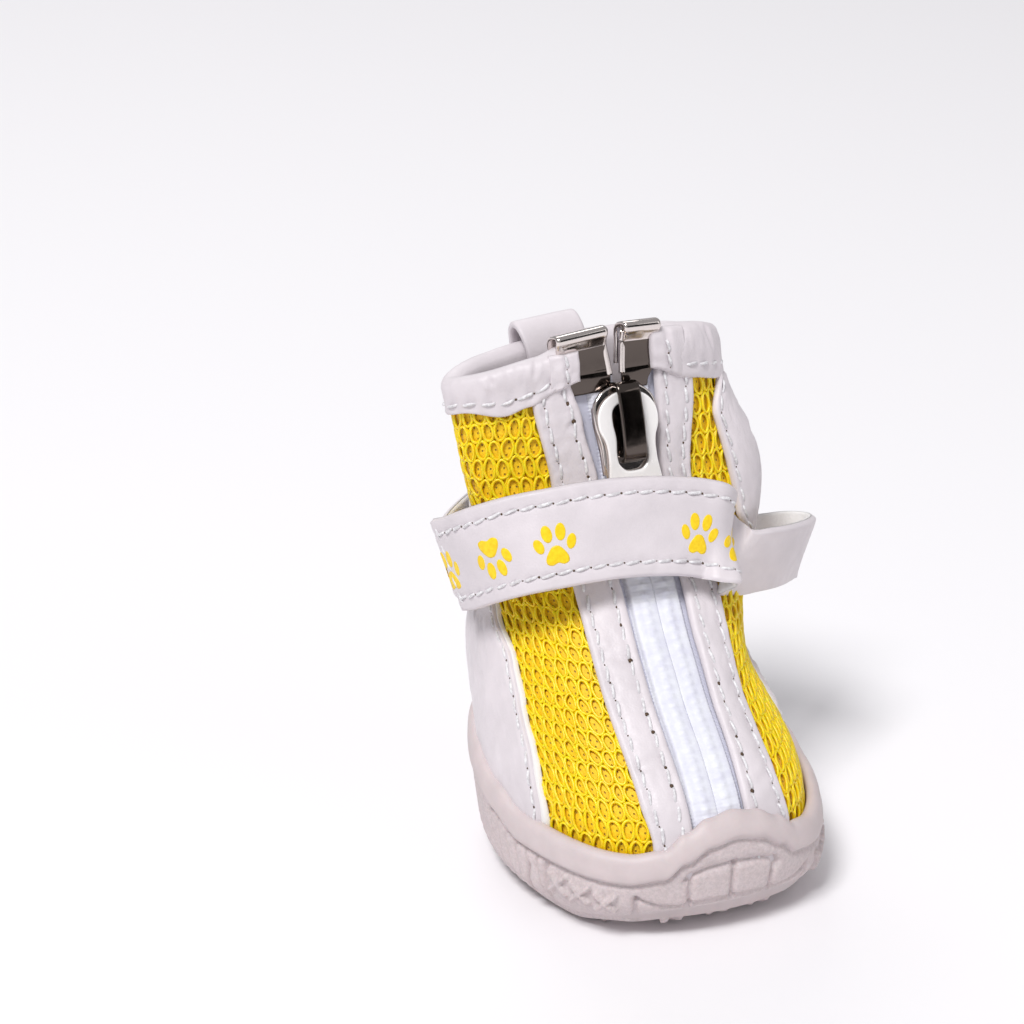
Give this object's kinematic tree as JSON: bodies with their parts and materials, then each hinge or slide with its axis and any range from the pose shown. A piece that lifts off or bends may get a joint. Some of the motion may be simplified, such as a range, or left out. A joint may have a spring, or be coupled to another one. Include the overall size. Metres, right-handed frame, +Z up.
{
  "type": "dog boot",
  "caption": "Dog's ankle boot with a lugged rubber cup sole, spacer-mesh upper, front zip, bound collar, heel pull loop and hook-and-loop ankle strap.",
  "frame": {"origin": "on the floor, at the middle of the plain round pad under the sole", "axes": "-Y towards the toe, +Z up the shaft, +X towards the strap's slack loop"},
  "size_m": [0.0747, 0.0725, 0.0883],
  "materials": {
    "rubber": "matt moulded thermoplastic rubber",
    "leatherette": "soft grained coated fabric",
    "mesh": "open spacer mesh with a soft lining",
    "zip_tape": "woven tape with a nylon coil",
    "nickel": "polished nickel plate",
    "lining": "brushed lining over foam"
  },
  "bodies": {
    "boot": {"outsole": "rubber", "insole": "lining", "upper": "mesh", "heel_counter": "leatherette", "zip_facing_left": "leatherette", "zip_facing_right": "leatherette", "zip_stringer_left": "zip_tape", "zip_stringer_right": "zip_tape", "collar_binding": "leatherette", "zip_clip_left": "nickel", "zip_clip_right": "nickel", "ankle_strap": "leatherette", "strap_tail": "leatherette", "pull_loop": "leatherette", "zip_slider": "nickel"},
    "pull": {"zip_pull": "nickel"}
  },
  "joints": [
    {"name": "zip_pull_swing", "type": "hinge", "parent": "boot", "child": "pull", "pos_m": [-0.00093, 0.00733, 0.0771], "axis": [-0.9998, -0.0062, -0.0213], "range_deg": [0, 12]}
  ]
}
